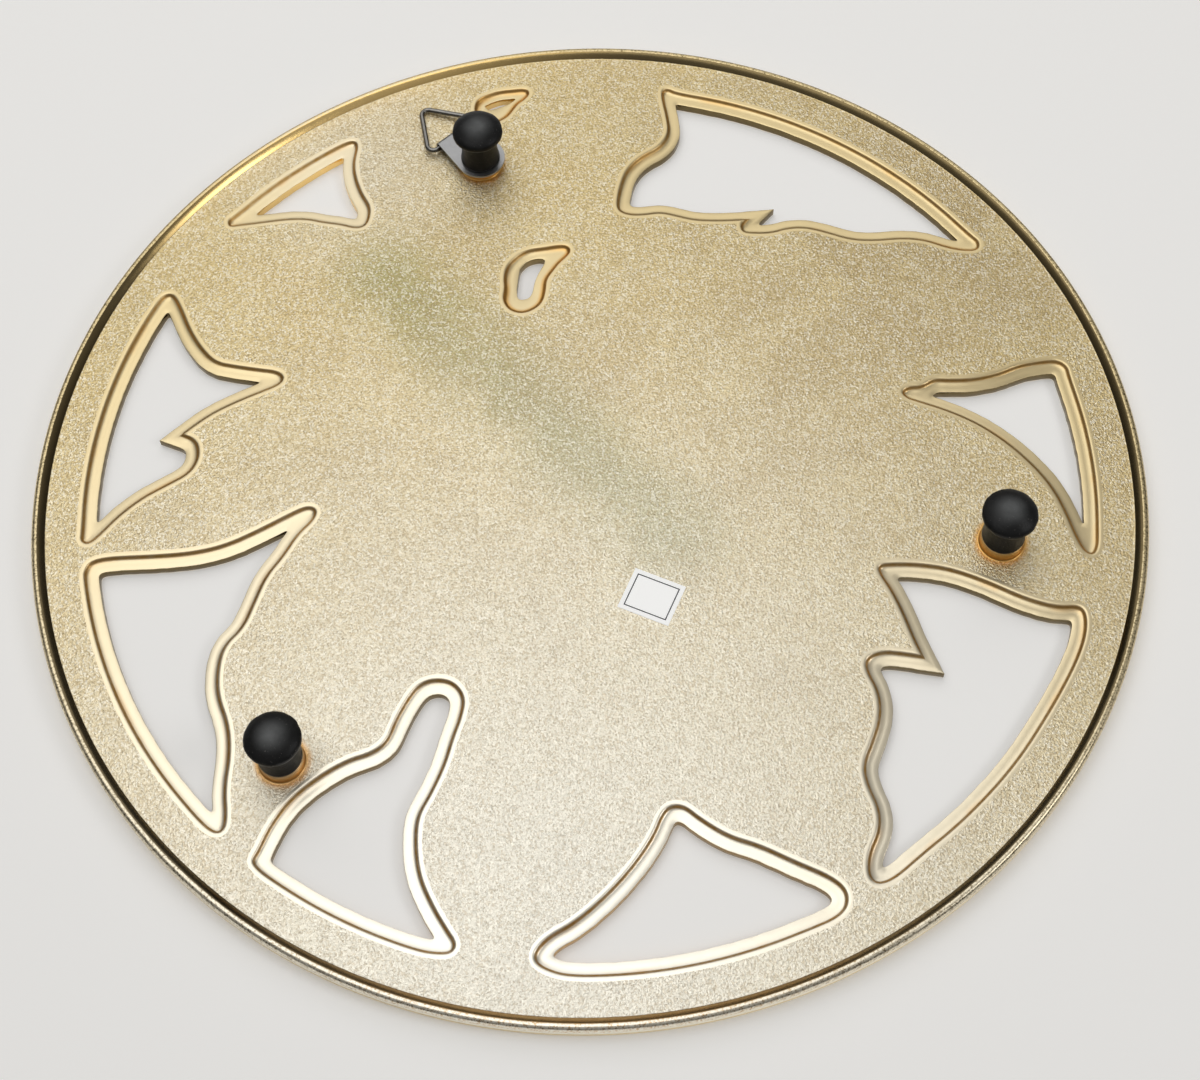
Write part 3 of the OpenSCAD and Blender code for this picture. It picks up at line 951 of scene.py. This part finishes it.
# Painted shade under the rim: dimmer on the lip, full in the hollow, half at the crease before it.
marks["painted_shade"][below & (inwards < LIP_IN)] = LIP_SHADE
marks["painted_shade"][below & (inwards < COVE_IN) & (inwards > LIP_IN)] = 1
marks["painted_shade"][below & (inwards < CREASE_IN) & (inwards > COVE_IN)] = CREASE_SHADE
for name in FEET:
    place = foot_place(name)
    near = np.hypot(points[:, 0] - place.x, points[:, 1] - place.y) < (BOSS_R + BOSS_POLISH) * MM
    marks["polish"][near & (points[:, 2] < TOP_Z - 1 * MM)] = 1
for name, values in marks.items():
    casting.data.attributes[name].data.foreach_set("value", values)
activate(casting)
bpy.ops.object.shade_smooth_by_angle(angle=CASTING_SMOOTH)
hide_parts("plate")
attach(casting, "plate")
print("polished share", round(float(marks["polish"].mean()), 2))

# %% [markdown]
# The plating is a pale champagne gold that has aged. Its colours are named first, then the places
# where it is stained: an olive tarnish crosses the middle, a brown one lies to one side, and rust
# has settled in some borders. After them come the places of painted light: a pale painted glare,
# painted glows in the hollow behind the lip and a painted orange reflection round the bosses. A
# painted texture could hold all that, but written as soft spots and streaks it stays sharp at any
# size and needs no picture.

# %% List the colours, stains and painted light of the plating
GOLD = (0.78, 0.635, 0.34, 1)
WARM_GOLD = (0.7, 0.54, 0.25, 1)
SMOOTH_GOLD = (0.72, 0.58, 0.32, 1)
# Pale colour of the painted glare.
GLARE_GOLD = (0.95, 0.93, 0.85, 1)
# Colour of painted glints: bright flecks in the grain.
GLINT_WHITE = (1.0, 0.95, 0.82, 1)
PIT = (0.42, 0.29, 0.13, 1)
# Brown of the painted shade on the step's sloping walls, and of the painted glow in the hollow behind
# the lip.
BROWN = (0.62, 0.36, 0.11, 1)
# Dark colour of the painted shade in the hollow behind the lip and on the hole walls.
SHADE_BRONZE = (0.12, 0.085, 0.035, 1)
# Orange of the rust, and of the painted reflection round the bosses.
AMBER = (0.75, 0.37, 0.05, 1)
# Gold of a painted glint in the hollow behind the lip.
HONEY = (0.95, 0.66, 0.25, 1)
OLIVE = (0.46, 0.41, 0.17, 1)
UMBER = (0.5, 0.39, 0.21, 1)
# Spots are x, y, reach and, in some, the reach of their full strength, in mm.
RUST_SPOTS = [
    (8, 38, 9), (13, 41, 8), (2, 50, 6), (6, 45, 6), (10, 88, 6), (12, 84, 6), (18, 88, 6),
    (-70, 44, 9), (73, -2, 14),
]
UMBER_SPOTS = {(-52, 40, 40): 1.0, (-32, 6, 26): 0.7, (-68, 58, 54): 1.3}
# Painted glare: pale spots where the lamps' glare is painted onto the underside.
PAINTED_GLARE_SPOTS = {(12, -84, 148): 0.82, (42, 74, 36): 0.3}
# Painted light in the hollow behind the lip: a glow low on the plate and a golden glint on the far side
# of the rim.
GLOW_SPOT = (5, -98, 75)
COVE_GLINT_SPOT = (44, 87, 62, 10)
# Reach of the painted orange reflection round each boss, and of its full strength.
BOSS_GLOW_REACH = (5.4, 3.9)
OLIVE_STREAK = ((36, 46), (-14, -12), 17)


def under(finish):
    """1 on the underside and 0 on the top face."""
    height = finish.node("ShaderNodeSeparateXYZ", {}, {0: finish.place}, "Z")
    return 1 - height.ramp(12.9 * MM, 13.2 * MM)


def streak(finish, start, end, reach):
    """1 along a line on the plate and 0 beyond its reach, with points in mm."""
    along = Vector(end) - Vector(start)
    parts = finish.node("ShaderNodeSeparateXYZ", {}, {0: finish.place})
    x = parts / MM - start[0]
    y = Wire(finish.tree, parts.socket.node.outputs[1]) / MM - start[1]
    share = ((x * along.x + y * along.y) / along.length_squared).clamped()
    off_x, off_y = x - share * along.x, y - share * along.y
    distance = off_x.math("SQRT", off_x * off_x + off_y * off_y)
    return 1 - distance.ramp(0.0, reach)


def spot(finish, x, y, reach, full=0.0, height=UNDER_Z):
    """1 at a place and 0 beyond its reach, in mm."""
    start = Vector((x * MM, y * MM, height))
    sockets = {0: finish.place, 1: start}
    distance = finish.node("ShaderNodeVectorMath", {"operation": "DISTANCE"}, sockets, "Value")
    return 1 - distance.ramp(full * MM, reach * MM)


def spots(finish, places):
    """The sum of many spots, each times its strength."""
    return sum((spot(finish, *place) * strength for place, strength in places.items()), 0)


def at_feet(finish, *reach, height=UNDER_Z):
    """A spot round each foot."""
    return sum((spot(finish, *(foot_place(name).xy / MM), *reach, height=height) for name in FEET), 0)


print("colours and stains listed,", len(RUST_SPOTS), "spots of rust")

# %% [markdown]
# The finish itself goes from broad to fine. The field has the grain of the mould, with bright flecks
# painted in as glints and dark pits in it. The borders, the rim and the bosses are smooth, the sloping
# walls get a painted brown shade, and the hollow behind the lip and the hole walls get painted shade.
# The three marks say where each begins, and noise keeps those limits from looking ruled. The stains
# and the painted glare lie on the underside alone, as does a painted orange reflection round the
# bosses, and both faces share a faint smudge.


# %% Mix the plated finish
def border_masks(finish, grain, wander):
    """Where the metal is polished, where shade is painted, the step's wall and its trough."""
    polish = (finish.attribute("polish") + wander * 0.5).ramp(0.35, 0.65)
    painted_shade = (finish.attribute("painted_shade") + (grain - 0.5) * 0.9).ramp(0.3, 0.7)
    side = finish.attribute("step_side")
    wall = side.ramp(-0.4, -0.15) * (1 - side.ramp(0.0, 0.3))
    trough = side.ramp(-1.2, -0.15) * (1 - side.ramp(0.05, 0.45))
    return polish, painted_shade, wall, trough


def field_colour(finish, flecks, painted_glare, below):
    """The grained field with its tarnish, painted glare, flecks painted as glints, and pits."""
    cloud = finish.noise(14 * MM, 3, 0.55)
    smudge = finish.noise(24 * MM, 4, 0.6)
    olive = (streak(finish, *OLIVE_STREAK) * cloud.ramp(0.1, 0.55)).clamped() * 0.95
    umber = (spots(finish, UMBER_SPOTS) * cloud.ramp(0.2, 0.7)).clamped() * 0.5
    colour = finish.mix(cloud.ramp(0.3, 0.7) * 0.5, GOLD, WARM_GOLD)
    colour = finish.mix(olive * below, colour, OLIVE)
    colour = finish.mix(umber * below, colour, UMBER)
    colour = finish.mix(smudge.ramp(0.42, 0.7) * 0.3, colour, UMBER)
    # Painted glare: the field paler where the lamps' glare lies.
    colour = finish.mix(painted_glare, colour, GLARE_GOLD)
    # Painted glints: bright flecks of the grain lightened towards white.
    colour = finish.mix(flecks.ramp(0.5, 0.74) * 0.6, colour, GLINT_WHITE)
    return finish.mix((1 - flecks.ramp(0.26, 0.48)) * (0.5 - painted_glare * 0.2), colour, PIT)


def cove_colour(finish):
    """Painted shade for the hollow behind the lip, lifted by a painted glow and a painted golden glint
    where it would catch the light.
    """
    glow = spot(finish, *GLOW_SPOT) * 0.8
    return finish.mix(spot(finish, *COVE_GLINT_SPOT), finish.mix(glow, SHADE_BRONZE, BROWN), HONEY)


def plated_normal(finish, grain, flecks, wander, polish):
    coarse = finish.bump(grain + flecks * 0.35, 0.18 * MM)
    smooth = finish.bump(finish.noise(2.5 * MM, 2) + wander * 0.15, 0.02 * MM)
    values = {0: polish, 4: coarse, 5: smooth}
    normal = finish.node("ShaderNodeMix", {"data_type": "VECTOR"}, values, 1)
    return finish.node("ShaderNodeVectorMath", {"operation": "NORMALIZE"}, {0: normal})


def plated_finish():
    finish = Finish("plated_gold", Metallic=1.0)
    below = under(finish)
    wander = finish.noise(1.2 * MM, 2) - 0.5
    grain = finish.noise(0.4 * MM, 2, 0.6)
    cells = {"Vector": finish.place, "Scale": 1 / (0.29 * MM)}
    flecks = finish.node("ShaderNodeTexVoronoi", {}, cells, 1) * 0.7 + grain * 0.3
    polish, painted_shade, wall, trough = border_masks(finish, grain, wander)
    painted_glare = spots(finish, PAINTED_GLARE_SPOTS) * below
    boss_glow = at_feet(finish, *BOSS_GLOW_REACH)
    rust = spots(finish, dict.fromkeys(RUST_SPOTS, 1.0)).clamped()
    rust = trough * (rust * 0.8 + finish.noise(9 * MM, 2).ramp(0.5, 0.7) * 0.35)
    colour = field_colour(finish, flecks, painted_glare, below)
    # The polished metal takes the same painted glare.
    colour = finish.mix(polish, colour, finish.mix(painted_glare, SMOOTH_GOLD, GLARE_GOLD))
    colour = finish.mix((rust * below).clamped(), colour, AMBER)
    # Painted shade: the step's sloping walls darkened to brown.
    colour = finish.mix((wall * (0.8 + wander)).clamped(), colour, BROWN)
    # Painted shade on the hole walls and round the rim's lip, in the colours of the hollow.
    colour = finish.mix(painted_shade * 0.9, colour, cove_colour(finish))
    # Painted reflection: the bosses and the field round them tinted orange, as gold mirrored in gold.
    colour = finish.mix((boss_glow * below * 0.8).clamped(), colour, AMBER)
    normal = plated_normal(finish, grain, flecks, wander, polish)
    roughness = 0.34 - painted_shade * 0.12 + wander * 0.06 + wall * 0.1
    finish.feed(Base_Color=colour, Roughness=roughness, Normal=normal)
    return finish.material


casting.data.materials.clear()
casting.data.materials.append(plated_finish())
print("finish", casting.data.materials[0].name)

# %% [markdown]
# The rubber feet are turned as well: a domed head with an upright edge, a waisted stem and a
# collar that bears on the boss. The bore inside takes the peg. A cylinder with a Bevel modifier would
# be quicker, but has no dome and no waist. One foot is modelled and copied to its three places.
# Moulded rubber never has a perfect edge, so each copy's rim gets a little flash of its own, pushed
# in and out by noise.

# %% Turn the rubber feet
DOME_R = 7.8
HEAD_R = 4.85
REST_R = 1.4
BORE_R = PEG_R / MM + 0.02
FOOT_STEPS = 96
FLASH_INSIDE = 4.6 * MM
FLASH_REACH = 0.09 * MM
FOOT_SMOOTH = math.radians(40)


def dome_height(radius):
    return math.sqrt(DOME_R**2 - REST_R**2) - math.sqrt(DOME_R**2 - radius**2)


def foot_profile():
    dome = [(r, max(0.0, dome_height(r))) for r in (0.3, 1.0, REST_R, 2.0, 2.7, 3.4, 4.0, 4.45, 4.72)]
    edge = dome_height(HEAD_R)
    top = FOOT_H / MM
    head = [(HEAD_R, edge + 0.12), (HEAD_R, edge + 0.8), (HEAD_R - 0.12, edge + 1.05)]
    neck = [(HEAD_R - 0.55, edge + 1.22), (3.75, edge + 1.32), (3.42, edge + 1.55)]
    stem = [(3.33, edge + 2.0), (3.35, 5.6), (3.48, 7.4), (3.62, 8.6)]
    collar = [(3.72, 9.1), (3.78, 9.35), (3.78, top - 0.12), (3.68, top)]
    bore = [(BORE_R, top), (BORE_R, 3.3), (0.3, 3.2)]
    return dome + head + neck + stem + collar + bore


def model_foot():
    foot = turned("rubber_foot", Vector((0, 0, 0)), foot_profile(), FOOT_STEPS)
    activate(foot)
    bpy.ops.object.mode_set(mode="EDIT")
    bpy.ops.mesh.select_all(action="SELECT")
    bpy.ops.mesh.fill_holes(sides=0)
    bpy.ops.mesh.normals_make_consistent(inside=False)
    bpy.ops.object.mode_set(mode="OBJECT")
    return foot


def add_flash(foot, place):
    """Roughens the upright edge of the head."""
    edge = (dome_height(HEAD_R) + 1.1) * MM
    for vertex in foot.data.vertices:
        arm = vertex.co - place
        arm.z = 0
        if arm.length > FLASH_INSIDE and vertex.co.z < edge:
            flash = noise.noise(vertex.co / (1.3 * MM)) + 0.5 * noise.noise(vertex.co / (0.5 * MM))
            vertex.co += arm.normalized() * (flash - 0.6) * FLASH_REACH


def copy_foot(model, name):
    activate(model)
    bpy.ops.object.duplicate(linked=False)
    foot = bpy.context.object
    foot.name = f"rubber_{name}"
    foot.data.name = foot.name
    foot.location = foot_place(name)
    bpy.ops.object.transform_apply(location=True, rotation=True, scale=True)
    add_flash(foot, foot_place(name))
    bpy.ops.object.shade_smooth_by_angle(angle=FOOT_SMOOTH)
    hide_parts(name)
    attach(foot, "plate")
    return foot


model = model_foot()
feet = [copy_foot(model, name) for name in FEET]
activate(model)
bpy.ops.object.delete()
print("foot faces", [len(foot.data.polygons) for foot in feet])

# %% [markdown]
# Old rubber is nearly black with a soft sheen. Dust settles in specks on it, and the middle of each
# dome is painted grey as a highlight. Black paint of one value would look like a hole in the
# picture, so the two blacks and the sheen change slowly over the surface.


# %% Mix the rubber
DARK_RUBBER = (0.004, 0.004, 0.004, 1)
LIGHT_RUBBER = (0.009, 0.009, 0.009, 1)
# Grey of the painted highlight in the middle of each dome.
HIGHLIGHT_GREY = (0.15, 0.155, 0.155, 1)
DUST = (0.16, 0.15, 0.14, 1)
HIGHLIGHT_REACH = (3.7, 0.2)


def rubber_finish():
    finish = Finish("old_rubber", Specular_IOR_Level=0.22)
    specks = finish.noise(0.35 * MM, 2, 0.7).ramp(0.66, 0.74)
    patches = finish.noise(3 * MM, 3)
    # Painted highlight: the middle of each dome lightened to grey.
    wear_and_highlight = at_feet(finish, *HIGHLIGHT_REACH, height=0)
    colour = finish.mix(patches, DARK_RUBBER, LIGHT_RUBBER)
    colour = finish.mix(wear_and_highlight * (patches * 0.8 + 0.2), colour, HIGHLIGHT_GREY)
    colour = finish.mix(specks * patches, colour, DUST)
    height = finish.noise(0.5 * MM, 3) * 0.5 + finish.noise(2.2 * MM, 2)
    normal = finish.bump(height, 0.06 * MM)
    finish.feed(Base_Color=colour, Roughness=0.3 + patches * 0.2, Normal=normal)
    return finish.material


rubber = rubber_finish()
for foot in feet:
    foot.data.materials.clear()
    foot.data.materials.append(rubber)
print("finish", rubber.name)

# %% [markdown]
# The strap is pressed sheet and the ring is bent wire. They could be modelled again, but their solids
# already have the right shape, down to the fold round the wire, so they stay and only get a finish:
# zinc-coloured and matt on the strap, darker and smoother on the wire, both with faint scuffs.


# %% Finish the hanger
DARK_ZINC = (0.3, 0.3, 0.3, 1)
LIGHT_ZINC = (0.4, 0.4, 0.4, 1)
DARK_STEEL = (0.16, 0.155, 0.145, 1)
LIGHT_STEEL = (0.3, 0.29, 0.27, 1)


def scuffed_finish(name, dark, light, roughness):
    finish = Finish(name, Metallic=1.0)
    scuffs = finish.noise(1.1 * MM, 4, 0.65)
    colour = finish.mix(scuffs, dark, light)
    normal = finish.bump(finish.noise(0.9 * MM, 3), 0.03 * MM)
    finish.feed(Base_Color=colour, Roughness=roughness + scuffs * 0.15, Normal=normal)
    return finish.material


def dress(node, material):
    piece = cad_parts[node]
    piece.data.materials.clear()
    piece.data.materials.append(material)


dress("hanger_strap", scuffed_finish("zinc_sheet", DARK_ZINC, LIGHT_ZINC, 0.24))
dress("hanger_ring", scuffed_finish("steel_wire", DARK_STEEL, LIGHT_STEEL, 0.12))
print("finishes", [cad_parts[n].data.materials[0].name for n in ("hanger_strap", "hanger_ring")])

# %% [markdown]
# The paper label is a thin slip stuck to the field. It is left bare but for its thin printed frame.
# An image could carry that line, but two insets cut it into the face, and the narrow ring between
# them gets an ink finish, so it stays sharp.

# %% Make the label
label_low, label_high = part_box("paper_label")
label_at = (label_low + label_high) / 2
LABEL_L = 9.6 * MM
LABEL_W = 8.2 * MM
LABEL_TURN = math.radians(26)
FRAME_INSET = 0.8 * MM
FRAME_LINE = 0.22 * MM
FACES_DOWN = -0.9
WHITE_PAPER = (0.9, 0.9, 0.88, 1)
GREY_PAPER = (0.78, 0.77, 0.73, 1)
DARK_INK = (0.02, 0.02, 0.03, 1)
PALE_INK = (0.09, 0.09, 0.1, 1)


def make_label():
    deselect()
    bpy.ops.mesh.primitive_cube_add(size=1, location=label_at, rotation=(0, 0, LABEL_TURN))
    label = bpy.context.object
    label.name = "printed_label"
    label.scale = (LABEL_L, LABEL_W, label_high.z - label_low.z)
    bpy.ops.object.transform_apply(location=True, rotation=True, scale=True)
    bpy.ops.object.mode_set(mode="EDIT")
    bpy.ops.mesh.select_mode(type="FACE")
    bpy.ops.mesh.select_all(action="DESELECT")
    mesh = bmesh.from_edit_mesh(label.data)
    for face in mesh.faces:
        face.select = face.normal.z < FACES_DOWN
    bmesh.update_edit_mesh(label.data)
    bpy.ops.mesh.inset(thickness=FRAME_INSET, depth=0)
    bpy.ops.mesh.inset(thickness=FRAME_LINE, depth=0)
    bpy.ops.object.mode_set(mode="OBJECT")
    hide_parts("paper_label")
    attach(label, "plate")
    return label


def label_finishes():
    # The paper glows faintly: painted light that makes it brighter than the lamps alone would.
    paper = Finish("label_paper", Roughness=0.55, Emission_Strength=0.25)
    fibre = paper.noise(0.4 * MM, 3)
    paper.feed(Base_Color=paper.mix(fibre * 0.4, WHITE_PAPER, GREY_PAPER))
    paper.feed(Normal=paper.bump(fibre, 0.01 * MM))
    ink = Finish("label_ink", Roughness=0.5)
    wear_and_highlight = ink.noise(0.3 * MM, 2)
    ink.feed(Base_Color=ink.mix(wear_and_highlight, DARK_INK, PALE_INK))
    return paper.material, ink.material


label = make_label()
for material in label_finishes():
    label.data.materials.append(material)
for face in label.data.polygons:
    ring = face.normal.z < FACES_DOWN and face.area < 3 * LABEL_L * FRAME_LINE
    inner = (face.center - label_at).length < LABEL_L / 2 - FRAME_INSET
    face.material_index = int(ring and inner)
print("label faces", len(label.data.polygons))
